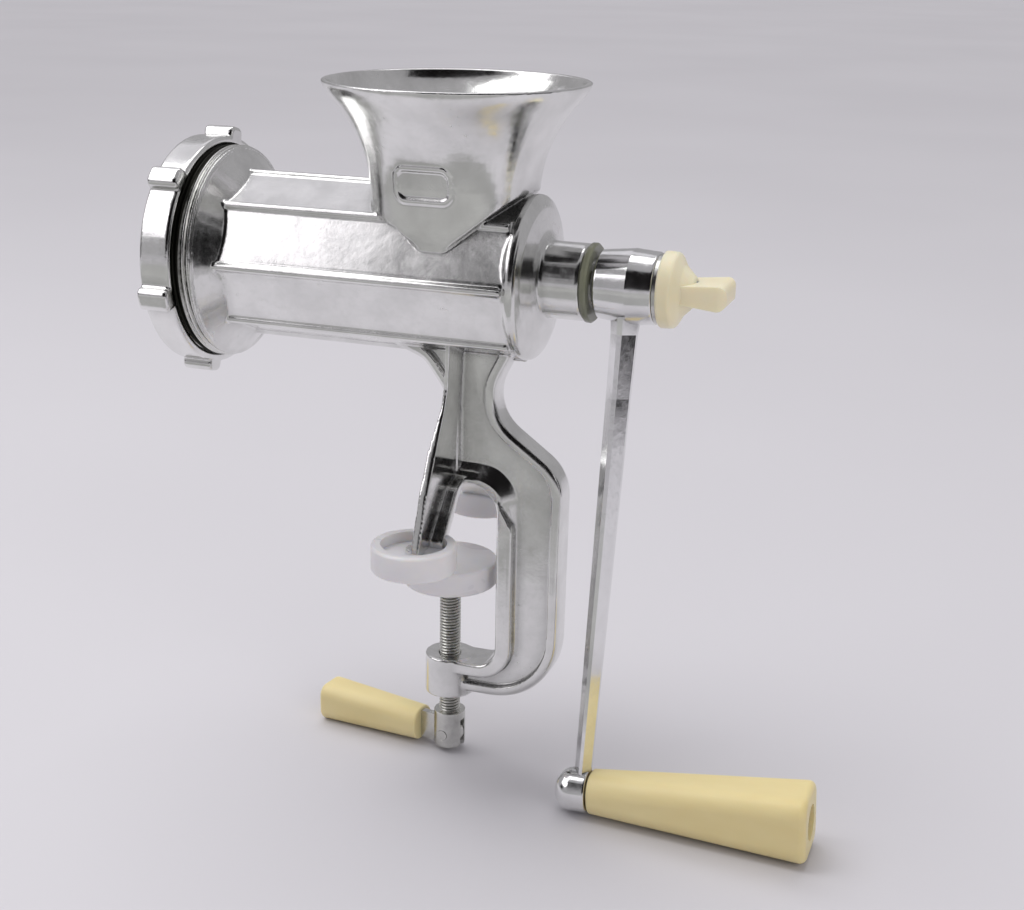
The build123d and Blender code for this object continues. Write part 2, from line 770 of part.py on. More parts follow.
# Crank grip: nearly round at the knuckle, a rounded square at its free end, lying on its lower face
with BuildPart() as crank_grip:
    for share in (0.0, 0.5, 1.0):
        with BuildSketch(grip_plane(grip_start + share * grip_length)):
            size = grip_small + share * (grip_large - grip_small)
            RectangleRounded(size, size, grip_small_corner + share * (grip_large_corner - grip_small_corner))
    loft()
    fillet(crank_grip.faces().sort_by(Axis.X)[-1].edges(), radius=2.5)
    fillet(crank_grip.faces().sort_by(Axis.X)[0].edges(), radius=1.2)
    with BuildSketch(grip_plane(grip_start)):
        Circle(axle_radius + running_gap)
    extrude(amount=grip_length, mode=Mode.SUBTRACT)
    with BuildSketch(grip_plane(grip_end)):
        Circle(axle_head_radius + 0.4)
    extrude(amount=-(axle_head_recess + face_gap), mode=Mode.SUBTRACT)
crank_grip.part.label = "crank_grip"
export_step(crank_grip.part, "parts/crank_grip.step")

# Crank washer
with BuildPart() as crank_washer:
    with BuildSketch(barrel_plane(hub_rear_x + face_gap)):
        Circle(washer_radius)
        Circle(wing_stud_radius + 0.4, mode=Mode.SUBTRACT)
    extrude(amount=washer_thickness)
crank_washer.part.label = "crank_washer"
export_step(crank_washer.part, "parts/crank_washer.step")

# Wing screw: a moulded head with a flat paddle, on a steel stud
with BuildPart() as paddle:
    with BuildSketch(Plane.XY):
        rounded_outline([
            (wing_root_x + 2.0, -wing_half_span + 2.0, 0),
            (wing_end_x, -wing_half_span, 3.0),
            (wing_end_x, wing_half_span, 3.0),
            (wing_root_x + 2.0, wing_half_span - 2.0, 0),
        ])
    extrude(amount=2 * axis_height)
    with BuildSketch(Plane.XZ.offset(-2 * wing_half_span)):
        rounded_outline([
            (wing_root_x + 2.0, axis_height - wing_root_half_thickness, 0),
            (wing_root_x + 9.0, axis_height - wing_root_half_thickness, 9.0),
            (wing_end_x, axis_height - wing_tip_half_thickness, 3.2),
            (wing_end_x, axis_height + wing_tip_half_thickness, 3.2),
            (wing_root_x + 9.0, axis_height + wing_root_half_thickness, 9.0),
            (wing_root_x + 2.0, axis_height + wing_root_half_thickness, 0),
        ])
    extrude(amount=4 * wing_half_span, mode=Mode.INTERSECT)

with BuildPart() as wing_screw_head:
    with BuildSketch(Plane.XZ):
        rounded_outline([
            (wing_root_x, axis_height, 0),
            (wing_root_x, axis_height + wing_base_radius, 0.9),
            (wing_root_x + wing_rim_length, axis_height + wing_base_radius - 0.3, 1.6),
            (wing_root_x + 1.5 * wing_rim_length, axis_height + 0.66 * wing_base_radius, 3.0),
            (wing_root_x + wing_neck_length, axis_height + wing_neck_radius, 2.0),
            (wing_root_x + wing_neck_length + 1.5, axis_height, 0),
        ])
    revolve(axis=barrel_axis)
    add(paddle.part)
    with BuildSketch(barrel_plane(wing_root_x)):
        Circle(wing_stud_radius)
    extrude(amount=wing_stud_rear_x - wing_root_x, mode=Mode.SUBTRACT)
wing_screw_head.part.label = "wing_screw_head"
export_step(wing_screw_head.part, "parts/wing_screw_head.step")

with BuildPart() as wing_screw_stud:
    with BuildSketch(barrel_plane(wing_stud_front_x)):
        Circle(wing_stud_radius)
    extrude(amount=wing_stud_rear_x - wing_stud_front_x)
    chamfer(wing_screw_stud.faces().sort_by(Axis.X)[0].edges(), length=0.8)
wing_screw_stud.part.label = "wing_screw_stud"
export_step(wing_screw_stud.part, "parts/wing_screw_stud.step")

# Ring nut: a threaded collar with six lugs and a lip that holds the plate
with BuildPart() as ring_nut:
    with BuildSketch(barrel_plane(ring_front_x)):
        Circle(ring_outer_radius)
        with PolarLocations(ring_outer_radius, lug_count, start_angle=180.0 - lug_phase):
            RectangleRounded(2 * (lug_reach_radius - ring_outer_radius), lug_width, 2.6)
    extrude(amount=ring_rear_x - ring_front_x)
    chamfer(ring_nut.faces().sort_by(Axis.X)[0].edges(), length=0.9)
    chamfer(ring_nut.faces().sort_by(Axis.X)[-1].edges(), length=0.9)
    with BuildSketch(barrel_plane(ring_front_x)):
        Circle(ring_opening_radius)
    extrude(amount=ring_lip, mode=Mode.SUBTRACT)
    with BuildSketch(barrel_plane(ring_front_x + ring_lip)):
        Circle(thread_crest_radius + running_gap)
    extrude(amount=ring_rear_x - ring_front_x - ring_lip, mode=Mode.SUBTRACT)
ring_nut.part.label = "ring_nut"
export_step(ring_nut.part, "parts/ring_nut.step")

# Clamp pad with its swivel disc
with BuildPart() as clamp_pad:
    with BuildSketch(Plane.XY.offset(clamp_pad_bottom_z)):
        Circle(clamp_pad_radius)
    extrude(amount=clamp_pad_top_z - clamp_pad_bottom_z)
    fillet(clamp_pad.edges().filter_by(GeomType.CIRCLE), radius=1.4)
    with BuildSketch(Plane.XY.offset(clamp_pad_bottom_z)):
        Circle(swivel_radius)
    extrude(amount=swivel_bottom_z + swivel_thickness - clamp_pad_bottom_z, mode=Mode.SUBTRACT)
    with BuildSketch(Plane.XY.offset(swivel_bottom_z + swivel_thickness)):
        Circle(screw_head_radius + 0.8)
    extrude(amount=screw_head_height + 2 * face_gap, mode=Mode.SUBTRACT)
clamp_pad.part.label = "clamp_pad"
export_step(clamp_pad.part, "parts/clamp_pad.step")

with BuildPart() as swivel_disc:
    with BuildSketch(Plane.XY.offset(swivel_bottom_z)):
        Circle(swivel_radius)
        Circle(screw_neck_radius + running_gap, mode=Mode.SUBTRACT)
    extrude(amount=swivel_thickness)
swivel_disc.part.label = "swivel_disc"
export_step(swivel_disc.part, "parts/swivel_disc.step")

# Clamp screw: a peened head over the swivel disc, the screw, and the clevis for the folding handle
handle_out = (-cos(radians(screw_turn_angle)), sin(radians(screw_turn_angle)), 0)
handle_across = (sin(radians(screw_turn_angle)), cos(radians(screw_turn_angle)), 0)
swing_plane = Plane(origin=(0, 0, pin_z), x_dir=handle_out, z_dir=handle_across)  # the handle folds in it
swing_up = swing_plane.y_dir.Z  # +1 where the plane's own second axis points up, -1 where it points down
with BuildPart() as clamp_screw:
    with BuildSketch(Plane.XZ):
        with BuildLine():
            Polyline(
                (0, clevis_top_z - 1.0),
                (screw_radius, clevis_top_z - 1.0),
                (screw_radius, swivel_bottom_z - face_gap),
                (screw_neck_radius, swivel_bottom_z - face_gap),
                (screw_neck_radius, swivel_bottom_z + swivel_thickness + face_gap),
                (screw_head_radius, swivel_bottom_z + swivel_thickness + face_gap),
                (screw_head_radius, swivel_bottom_z + swivel_thickness + screw_head_height),
                (0, swivel_bottom_z + swivel_thickness + screw_head_height),
                close=True,
            )
        make_face()
    revolve(axis=screw_axis)
    with BuildSketch(Plane.XY.offset(clevis_bottom_z)):
        Circle(clevis_radius)
    extrude(amount=clevis_top_z - clevis_bottom_z)
    fillet(clamp_screw.edges().filter_by(GeomType.CIRCLE).group_by(Axis.Z)[0], radius=1.8)
    with BuildSketch(swing_plane):
        with Locations((0, swing_up * (clevis_slot_top_z + clevis_bottom_z - 2 * pin_z - 2.0) / 2)):
            Rectangle(4 * clevis_radius, clevis_slot_top_z - clevis_bottom_z + 2.0)
    extrude(amount=clevis_slot / 2, both=True, mode=Mode.SUBTRACT)
    with BuildSketch(swing_plane):
        Circle(pin_radius)
    extrude(amount=clevis_radius, both=True, mode=Mode.SUBTRACT)
clamp_screw.part.label = "clamp_screw"
export_step(clamp_screw.part, "parts/clamp_screw.step")

with BuildPart() as handle_pin:
    with BuildSketch(swing_plane):
        Circle(pin_radius)
    extrude(amount=clevis_radius, both=True)
handle_pin.part.label = "handle_pin"
export_step(handle_pin.part, "parts/handle_pin.step")

# Handle tongue: a flat steel strip, round about the pin, that ends inside the handle
with BuildPart() as handle_tongue:
    with BuildSketch(swing_plane):
        Circle(tongue_height / 2)
        with Locations((tongue_end / 2, 0)):
            Rectangle(tongue_end, tongue_height)
        Circle(pin_radius + running_gap, mode=Mode.SUBTRACT)
    extrude(amount=tongue_thickness / 2, both=True)
handle_tongue.part.label = "handle_tongue"
export_step(handle_tongue.part, "parts/handle_tongue.step")

with BuildPart() as screw_handle:
    for share in (0.0, 0.5, 1.0):
        start = [(handle_start + share * (handle_end - handle_start)) * step for step in handle_out]
        with BuildSketch(Plane(origin=(start[0], start[1], pin_z), x_dir=handle_across, z_dir=handle_out)):
            size = handle_small + share * (handle_large - handle_small)
            corner = handle_small_corner + share * (handle_large_corner - handle_small_corner)
            RectangleRounded(size, size, corner)
    loft()
    fillet(screw_handle.faces().sort_by(Axis.X)[0].edges(), radius=2.0)
    fillet(screw_handle.faces().sort_by(Axis.X)[-1].edges(), radius=0.8)
    with BuildSketch(swing_plane):
        with Locations((tongue_end / 2, 0)):
            Rectangle(tongue_end, tongue_height)
    extrude(amount=tongue_thickness / 2, both=True, mode=Mode.SUBTRACT)
screw_handle.part.label = "screw_handle"
export_step(screw_handle.part, "parts/screw_handle.step")
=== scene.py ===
import json
from math import cos, pi, radians, sin, tau

import bmesh
import bpy
from mathutils import Matrix, Vector


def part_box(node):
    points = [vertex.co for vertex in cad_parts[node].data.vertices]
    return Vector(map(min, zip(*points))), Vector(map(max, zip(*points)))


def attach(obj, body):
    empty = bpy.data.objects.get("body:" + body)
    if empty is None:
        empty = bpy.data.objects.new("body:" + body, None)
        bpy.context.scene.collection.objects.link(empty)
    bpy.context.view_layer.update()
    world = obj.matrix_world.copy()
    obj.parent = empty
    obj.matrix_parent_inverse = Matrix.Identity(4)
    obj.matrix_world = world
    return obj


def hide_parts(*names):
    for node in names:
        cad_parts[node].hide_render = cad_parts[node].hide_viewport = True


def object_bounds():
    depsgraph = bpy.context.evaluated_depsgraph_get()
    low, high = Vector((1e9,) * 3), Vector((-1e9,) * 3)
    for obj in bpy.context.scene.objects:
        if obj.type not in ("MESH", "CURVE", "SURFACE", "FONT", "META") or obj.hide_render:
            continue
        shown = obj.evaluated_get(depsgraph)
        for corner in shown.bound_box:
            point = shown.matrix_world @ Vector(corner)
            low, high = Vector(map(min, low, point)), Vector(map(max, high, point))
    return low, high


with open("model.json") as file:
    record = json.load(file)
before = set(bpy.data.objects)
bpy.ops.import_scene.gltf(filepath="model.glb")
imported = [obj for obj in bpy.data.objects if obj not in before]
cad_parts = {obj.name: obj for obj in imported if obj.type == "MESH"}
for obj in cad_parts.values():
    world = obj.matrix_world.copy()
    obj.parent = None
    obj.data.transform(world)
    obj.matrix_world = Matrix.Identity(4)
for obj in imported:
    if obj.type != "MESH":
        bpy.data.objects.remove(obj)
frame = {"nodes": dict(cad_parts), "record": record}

# A clamp-on hand crank meat grinder. Metres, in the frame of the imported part:
# the origin is on the clamp screw's axis in the table-top plane, +X runs towards the crank and +Z up.

cad_low, cad_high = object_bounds()
nodes = frame["nodes"]
scene = bpy.context.scene
MM = 0.001

# ---------------------------------------------------------------------------------------------
# Camera
# ---------------------------------------------------------------------------------------------
VIEW_AZIMUTH = radians(19.37)
VIEW_ELEVATION = radians(18.05)
VIEW_ROLL = radians(1.07)
VIEW_DISTANCE = 0.60995
VIEW_AIM = Vector((0.02439, 0.0, 0.03583))
VIEW_LENS = 57.26


def make_camera():
    """The photograph's view: seen from the front, a little to the crank's side and from above."""
    data = bpy.data.cameras.new("camera")
    data.lens = VIEW_LENS
    data.sensor_width = 36.0
    data.sensor_fit = "HORIZONTAL"
    data.clip_start = 0.01
    data.clip_end = 100.0
    camera = bpy.data.objects.new("camera", data)
    scene.collection.objects.link(camera)
    back = Vector((
        sin(VIEW_AZIMUTH) * cos(VIEW_ELEVATION),
        -cos(VIEW_AZIMUTH) * cos(VIEW_ELEVATION),
        sin(VIEW_ELEVATION),
    ))
    level_right = Vector((cos(VIEW_AZIMUTH), sin(VIEW_AZIMUTH), 0.0))
    level_up = back.cross(level_right)
    right = level_right * cos(VIEW_ROLL) + level_up * sin(VIEW_ROLL)
    up = level_up * cos(VIEW_ROLL) - level_right * sin(VIEW_ROLL)
    place = Matrix((right, up, back)).transposed().to_4x4()
    place.translation = VIEW_AIM + back * VIEW_DISTANCE
    camera.matrix_world = place
    scene.camera = camera


# ---------------------------------------------------------------------------------------------
# Node helpers
# ---------------------------------------------------------------------------------------------
class Look:
    """A procedural material under construction."""

    def __init__(self, name):
        self.material = bpy.data.materials.new(name)
        self.material.use_nodes = True
        self.tree = self.material.node_tree
        self.shader = next(n for n in self.tree.nodes if n.type == "BSDF_PRINCIPLED")
        self.place = self.add("ShaderNodeTexCoord").outputs["Object"]

    def add(self, kind, **settings):
        node = self.tree.nodes.new(kind)
        for name, value in settings.items():
            setattr(node, name, value)
        return node

    def link(self, output, socket):
        self.tree.links.new(output, socket)

    def set(self, **values):
        """Plain values on the shader's own sockets; underscores stand for spaces."""
        for name, value in values.items():
            self.shader.inputs[name.replace("_", " ")].default_value = value

    def stretched(self, scale):
        mapping = self.add("ShaderNodeMapping")
        mapping.inputs["Scale"].default_value = scale
        self.link(self.place, mapping.inputs["Vector"])
        return mapping.outputs["Vector"]

    def noise(self, scale, detail=3.0, roughness=0.5, vector=None, distortion=0.0):
        """Noise whose scale is in cells per metre."""
        node = self.add("ShaderNodeTexNoise")
        node.inputs["Scale"].default_value = scale
        node.inputs["Detail"].default_value = detail
        node.inputs["Roughness"].default_value = roughness
        node.inputs["Distortion"].default_value = distortion
        self.link(vector or self.place, node.inputs["Vector"])
        return node.outputs["Fac"]

    def ramp(self, value, *stops):
        """A colour ramp from (position, colour) stops."""
        node = self.add("ShaderNodeValToRGB")
        elements = node.color_ramp.elements
        while len(elements) > len(stops):
            elements.remove(elements[-1])
        while len(elements) < len(stops):
            elements.new(1.0)
        for element, (position, colour) in zip(elements, stops):
            element.position = position
            element.color = (*colour, 1.0) if len(colour) == 3 else colour
        self.link(value, node.inputs["Fac"])
        return node.outputs["Color"]

    def spread(self, value, low, high, at_low, at_high):
        """value's range low…high mapped to at_low…at_high."""
        node = self.add("ShaderNodeMapRange")
        node.inputs["From Min"].default_value = low
        node.inputs["From Max"].default_value = high
        node.inputs["To Min"].default_value = at_low
        node.inputs["To Max"].default_value = at_high
        self.link(value, node.inputs["Value"])
        return node.outputs["Result"]

    def maths(self, operation, first, second):
        node = self.add("ShaderNodeMath", operation=operation)
        for socket, value in zip(node.inputs, (first, second)):
            if isinstance(value, (int, float)):
                socket.default_value = value
            else:
                self.link(value, socket)
        return node.outputs["Value"]

    def blend_colours(self, share, first, second):
        node = self.add("ShaderNodeMix", data_type="RGBA")
        for socket, value in zip((node.inputs[0], node.inputs[6], node.inputs[7]), (share, first, second)):
            if isinstance(value, (int, float)):
                socket.default_value = value
            elif isinstance(value, tuple):
                socket.default_value = (*value, 1.0)
            else:
                self.link(value, socket)
        return node.outputs[2]

    def bump(self, height, distance, strength=1.0, normal=None):
        """Bump whose distance is in metres."""
        node = self.add("ShaderNodeBump")
        node.inputs["Strength"].default_value = strength
        node.inputs["Distance"].default_value = distance
        self.link(height, node.inputs["Height"])
        if normal is not None:
            self.link(normal, node.inputs["Normal"])
        return node.outputs["Normal"]

    def finish(self, colour=None, roughness=None, normal=None):
        if colour is not None:
            self.link(colour, self.shader.inputs["Base Color"])
        if roughness is not None:
            self.link(roughness, self.shader.inputs["Roughness"])
        if normal is not None:
            self.link(normal, self.shader.inputs["Normal"])
        return self.material


# ---------------------------------------------------------------------------------------------
# Materials
# ---------------------------------------------------------------------------------------------
def cast_metal(name, bright, dull, smooth, rough, wobble, grain):
    """Polished die-cast aluminium: soft waves, fine pitted grain, hollows that are rougher and darkened by
    painted shade, and faint scratches.
    """
    look = Look(name)
    look.set(Metallic=1.0)
    blotches = look.noise(70.0, 4.0, 0.6)
    clouds = look.noise(22.0, 2.0, 0.5)
    speckle = look.noise(2600.0, 3.0, 0.6)
    scuffs = look.noise(420.0, 5.0, 0.65, distortion=0.4)
    hollow = look.add("ShaderNodeAmbientOcclusion", samples=4, only_local=True)
    hollow.inputs["Distance"].default_value = 5 * MM
    open_share = look.spread(hollow.outputs["AO"], 0.35, 0.95, 0.0, 1.0)
    colour = look.ramp(blotches, (0.3, dull), (0.62, bright))
    colour = look.blend_colours(look.spread(scuffs, 0.5, 0.75, 0.0, 0.35), colour, dull)
    # painted shade: where the AO node finds hollows and creases, the colour is blended towards 0.45 of the
    # dull tint
    painted_hollow_shade = tuple(0.45 * part for part in dull)
    colour = look.blend_colours(open_share, painted_hollow_shade, colour)
    roughness = look.spread(blotches, 0.3, 0.7, smooth, rough)
    roughness = look.maths("ADD", roughness, look.spread(scuffs, 0.45, 0.75, 0.0, 0.1))
    roughness = look.maths("ADD", roughness, look.spread(open_share, 0.0, 1.0, 0.12, 0.0))
    normal = look.bump(clouds, wobble * MM, 1.0)
    normal = look.bump(blotches, 0.25 * wobble * MM, 1.0, normal)
    normal = look.bump(speckle, grain * MM, 0.6, normal)
    return look.finish(colour, roughness, normal)


def plated_steel(name, tint, smooth, rough):
    """Turned and zinc-plated steel: fine turning lines and a slightly warm mottle."""
    look = Look(name)
    look.set(Metallic=1.0)
    mottle = look.noise(180.0, 4.0, 0.6)
    fine = look.noise(3000.0, 2.0, 0.5)
    colour = look.ramp(mottle, (0.3, tuple(0.72 * part for part in tint)), (0.7, tint))
    roughness = look.spread(mottle, 0.3, 0.7, smooth, rough)
    normal = look.bump(fine, 0.006 * MM, 0.8)
    return look.finish(colour, roughness, normal)


def moulded_plastic(name, light, deep, rough, glow):
    """Moulded plastic: slight colour clouds, flow lines, a satin skin and some light inside."""
    look = Look(name)
    look.set(Subsurface_Weight=glow, Subsurface_Scale=3 * MM, IOR=1.49)
    look.shader.inputs["Subsurface Radius"].default_value = (1.0, 0.8, 0.55)
    clouds = look.noise(45.0, 3.0, 0.55, look.stretched((0.35, 1.0, 1.0)))
    skin = look.noise(2200.0, 2.0, 0.5)
    flecks = look.noise(700.0, 4.0, 0.7)
    colour = look.ramp(clouds, (0.32, deep), (0.66, light))
    colour = look.blend_colours(look.spread(flecks, 0.62, 0.78, 0.0, 0.25), colour, deep)
    roughness = look.spread(clouds, 0.3, 0.7, rough - 0.06, rough + 0.08)
    normal = look.bump(clouds, 0.05 * MM, 1.0)
    normal = look.bump(skin, 0.01 * MM, 0.7, normal)
    return look.finish(colour, roughness, normal)


def ground_steel(name, tint):
    """Ground tool steel with straight grinding marks."""
    look = Look(name)
    look.set(Metallic=1.0)
    marks = look.noise(900.0, 3.0, 0.6, look.stretched((1.0, 0.12, 1.0)))
    colour = look.ramp(marks, (0.35, tuple(0.7 * part for part in tint)), (0.7, tint))
    roughness = look.spread(marks, 0.3, 0.7, 0.22, 0.38)
    normal = look.bump(marks, 0.01 * MM, 0.8)
    return look.finish(colour, roughness, normal)


casting = cast_metal("cast_body", (0.84, 0.84, 0.83), (0.70, 0.70, 0.69), 0.10, 0.22, 0.35, 0.012)
ring_cast = cast_metal("cast_ring", (0.86, 0.86, 0.85), (0.74, 0.74, 0.73), 0.10, 0.20, 0.25, 0.010)
crank_cast = cast_metal("cast_crank", (0.86, 0.86, 0.86), (0.74, 0.74, 0.74), 0.08, 0.16, 0.25, 0.008)
steel = plated_steel("zinc_plate", (0.74, 0.74, 0.71), 0.16, 0.30)
knife_steel = ground_steel("ground_steel", (0.62, 0.62, 0.62))
grip_plastic = moulded_plastic("cream_plastic", (0.84, 0.72, 0.40), (0.76, 0.63, 0.31), 0.38, 0.3)
wing_plastic = moulded_plastic("ivory_plastic", (0.88, 0.82, 0.62), (0.82, 0.74, 0.51), 0.34, 0.5)
pad_plastic = moulded_plastic("milky_plastic", (0.80, 0.785, 0.80), (0.72, 0.705, 0.725), 0.30, 0.6)
bush_plastic = moulded_plastic("bush_plastic", (0.24, 0.245, 0.17), (0.15, 0.155, 0.11), 0.18, 0.0)

SLOT_MATERIALS = {
    "cast_aluminium": casting,
    "plated_steel": steel,
    "tool_steel": knife_steel,
    "bush_plastic": bush_plastic,
    "grip_plastic": grip_plastic,
    "wing_plastic": wing_plastic,
    "pad_plastic": pad_plastic,
}
NODE_MATERIALS = {"ring_nut": ring_cast, "crank_arm": crank_cast}


def dress(piece, material):
    piece.data.materials.clear()
    piece.data.materials.append(material)


def dress_nodes():
    """Give every CAD node the material of its slot, or one of its own."""
    for part in frame["record"]["subparts"]:
        name = part["node"]
        dress(nodes[name], NODE_MATERIALS.get(name, SLOT_MATERIALS[part["material_slot"]]))


# ---------------------------------------------------------------------------------------------
# Cast pieces: the CAD shape with the soft edges and fillets that a casting has
# ---------------------------------------------------------------------------------------------
def soft_cast(name, node, body, material, voxel, rounds, most_triangles, reshape=None):
    """A copy of a CAD node, remeshed and smoothed so that its edges and inner corners are rounded."""
    mesh = nodes[node].data.copy()
    if reshape is not None:
        for vertex in mesh.vertices:
            vertex.co = reshape(vertex.co)
    piece = bpy.data.objects.new(name, mesh)
    scene.collection.objects.link(piece)
    remesh = piece.modifiers.new("remesh", "REMESH")
    remesh.mode = "VOXEL"
    remesh.voxel_size = voxel
    remesh.adaptivity = 0.0
    smooth = piece.modifiers.new("smooth", "SMOOTH")
    smooth.factor = 0.5
    smooth.iterations = rounds
    bake_modifiers(piece)
    triangles = 2 * len(piece.data.polygons)
    if triangles > most_triangles:
        thin = piece.modifiers.new("thin", "DECIMATE")
        thin.ratio = most_triangles / triangles
        bake_modifiers(piece)
    piece.data.shade_smooth()
    dress(piece, material)
    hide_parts(node)
    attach(piece, body)
    return piece


def bake_modifiers(piece):
    """Replace the piece's mesh by what its modifiers make of it."""
    depsgraph = bpy.context.evaluated_depsgraph_get()
    mesh = bpy.data.meshes.new_from_object(piece.evaluated_get(depsgraph))
    old = piece.data
    piece.modifiers.clear()
    piece.data = mesh
    mesh.name = piece.name
    bpy.data.meshes.remove(old)


# ---------------------------------------------------------------------------------------------
# Threads, and the clamp screw's clevis
# ---------------------------------------------------------------------------------------------
THREAD_ROWS = 8  # rows of points along one pitch
# painted shade: the band behind the ring nut stands for the shadow in the gap between nut and thread
SHADE_BAND_FADE = 0.7 * MM  # over which the dark band behind the nut fades out


def threaded_tube(name, place, length, crest, depth, pitch, inner, steps, fade_turns=1.0):
    """A tube or rod along its own Z axis, with a helical thread outside; place puts it in the frame."""
    rows = max(2, int(length / pitch * THREAD_ROWS))
    build = bmesh.new()
    height = build.verts.layers.float.new("thread_height")
    rings = []
    for row in range(rows + 1):
        ring = []
        z = length * row / rows
        fade = min(1.0, z / pitch / fade_turns, (length - z) / pitch / fade_turns)
        for step in range(steps):
            turn = step / steps
            wave = 0.5 + 0.5 * cos(tau * (z / pitch - turn))
            rise = fade * wave ** 0.8
            radius = crest - depth * (1.0 - rise)
            vertex = build.verts.new(place @ Vector((radius * cos(tau * turn), radius * sin(tau * turn), z)))
            vertex[height] = rise
            ring.append(vertex)
        rings.append(ring)
    if inner > 0:
        for z in (length, 0.0):
            ring = []
            for step in range(steps):
                turn = tau * step / steps
                ring.append(build.verts.new(place @ Vector((inner * cos(turn), inner * sin(turn), z))))
            rings.append(ring)
        rings.append(rings[0])
    else:
        build.faces.new(list(reversed(rings[0])))
        build.faces.new(rings[-1])
    for lower, upper in zip(rings, rings[1:]):
        for step in range(steps):
            after = (step + 1) % steps
            build.faces.new((lower[step], lower[after], upper[after], upper[step]))
    bmesh.ops.recalc_face_normals(build, faces=build.faces)
    mesh = bpy.data.meshes.new(name)
    build.to_mesh(mesh)
    build.free()
    mesh.shade_smooth()
    piece = bpy.data.objects.new(name, mesh)
    scene.collection.objects.link(piece)
    return piece


def thread_look(name, crest_tint, groove_shade_tint, rough, shade_band=None):
    """Metal whose thread is bright at the crests, with painted shade darkening the grooves.

    Between the two X places of the shade band it is dark all over: painted shade in the gap behind the nut.
    """
    look = Look(name)
    look.set(Metallic=1.0)
    height = look.add("ShaderNodeAttribute", attribute_name="thread_height").outputs["Fac"]
    mottle = look.noise(500.0, 4.0, 0.6)
    level = look.maths("ADD", height, look.spread(mottle, 0.3, 0.7, -0.15, 0.15))
    # painted shade: between the band's two X places the whole thread takes the dark groove tint
    if shade_band is not None:
        along = look.add("ShaderNodeSeparateXYZ")
        look.link(look.place, along.inputs[0])
        start, end = shade_band
        before = look.spread(along.outputs["X"], start - SHADE_BAND_FADE, start, 1.0, 0.0)
        after = look.spread(along.outputs["X"], end, end + SHADE_BAND_FADE, 0.0, 1.0)
        level = look.maths("MULTIPLY", level, look.maths("MAXIMUM", before, after))
    # painted shade: the low parts of the thread take the near-black groove tint
    colour = look.ramp(level, (0.12, groove_shade_tint), (0.42, crest_tint))
    roughness = look.spread(level, 0.1, 0.6, rough + 0.25, rough)
    return look.finish(colour, roughness, look.bump(mottle, 0.02 * MM, 0.6))


CLEVIS_VOXEL = 0.16 * MM


def clevis(name, body, top_z):
    """The clamp screw's clevis: the CAD node below top_z, with a rounded collar."""
    piece = bpy.data.objects.new(name, nodes["clamp_screw"].data.copy())
    scene.collection.objects.link(piece)
    build = bmesh.new()
    build.from_mesh(piece.data)
    bmesh.ops.remove_doubles(build, verts=build.verts, dist=1e-6)
    cut = bmesh.ops.bisect_plane(
        build,
        geom=build.verts[:] + build.edges[:] + build.faces[:],
        plane_co=(0, 0, top_z),
        plane_no=(0, 0, 1),
        clear_outer=True,
    )
    edges = [item for item in cut["geom_cut"] if isinstance(item, bmesh.types.BMEdge)]
    bmesh.ops.holes_fill(build, edges=edges, sides=0)
    build.to_mesh(piece.data)
    build.free()
    remesh = piece.modifiers.new("remesh", "REMESH")
    remesh.mode = "VOXEL"
    remesh.voxel_size = CLEVIS_VOXEL
    smooth = piece.modifiers.new("smooth", "SMOOTH")
    smooth.factor = 0.5
    smooth.iterations = 5
    bake_modifiers(piece)
    piece.data.shade_smooth()
    dress(piece, steel)
    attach(piece, body)
    return piece


# ---------------------------------------------------------------------------------------------
# Floor, light and what the metal mirrors
# ---------------------------------------------------------------------------------------------
FLOOR_RADIUS = 14.0
FLOOR_CORNERS = 64


def flat_piece(name, corners, material):
    """A one-face mesh for the set around the object."""
    mesh = bpy.data.meshes.new(name)
    mesh.from_pydata([tuple(corner) for corner in corners], [], [tuple(range(len(corners)))])
    piece = bpy.data.objects.new(name, mesh)
    scene.collection.objects.link(piece)
    mesh.materials.append(material)
    return piece


def make_floor():
    """A wide sheet of pale lilac-grey paper under the lowest point of the object."""
    look = Look("floor_paper")
    look.set(Specular_IOR_Level=0.15)
    grain = look.noise(900.0, 2.0, 0.5)
    tone = look.noise(2.0, 2.0, 0.5)
    colour = look.ramp(tone, (0.3, (0.575, 0.560, 0.590)), (0.7, (0.60, 0.585, 0.615)))
    material = look.finish(colour, look.spread(grain, 0.0, 1.0, 0.6, 0.75), look.bump(grain, 0.05 * MM, 0.3))
    turns = [tau * corner / FLOOR_CORNERS for corner in range(FLOOR_CORNERS)]
    ring = [(FLOOR_RADIUS * cos(turn), FLOOR_RADIUS * sin(turn), cad_low.z) for turn in turns]
    flat_piece("floor", ring, material)


def card(name, place, aim, width, height, colour, strength=0.0):
    """A card that only the metal's mirror reflections see."""
    look = Look(name)
    look.set(Roughness=0.9, Specular_IOR_Level=0.0, Emission_Strength=strength)
    look.shader.inputs["Base Color"].default_value = (*colour, 1.0)
    look.shader.inputs["Emission Color"].default_value = (*colour, 1.0)
    place = Vector(place)
    turn = (Vector(aim) - place).to_track_quat("Z", "Y").to_matrix()
    corners = [
        place + turn @ Vector((side_x * width / 2, side_y * height / 2, 0))
        for side_x, side_y in ((-1, -1), (1, -1), (1, 1), (-1, 1))
    ]
    piece = flat_piece(name, corners, look.material)
    piece.visible_camera = False
    piece.visible_diffuse = False
    piece.visible_shadow = False
    piece.visible_transmission = False
    return piece


def softbox(name, place, aim, width, height, watts):
    """A rectangular area light."""
    data = bpy.data.lights.new(name, "AREA")
    data.shape = "RECTANGLE"
    data.size = width
    data.size_y = height
    data.energy = watts
    light = bpy.data.objects.new(name, data)
    scene.collection.objects.link(light)
    light.location = place
    light.rotation_euler = (Vector(aim) - Vector(place)).to_track_quat("-Z", "Y").to_euler()
    return light


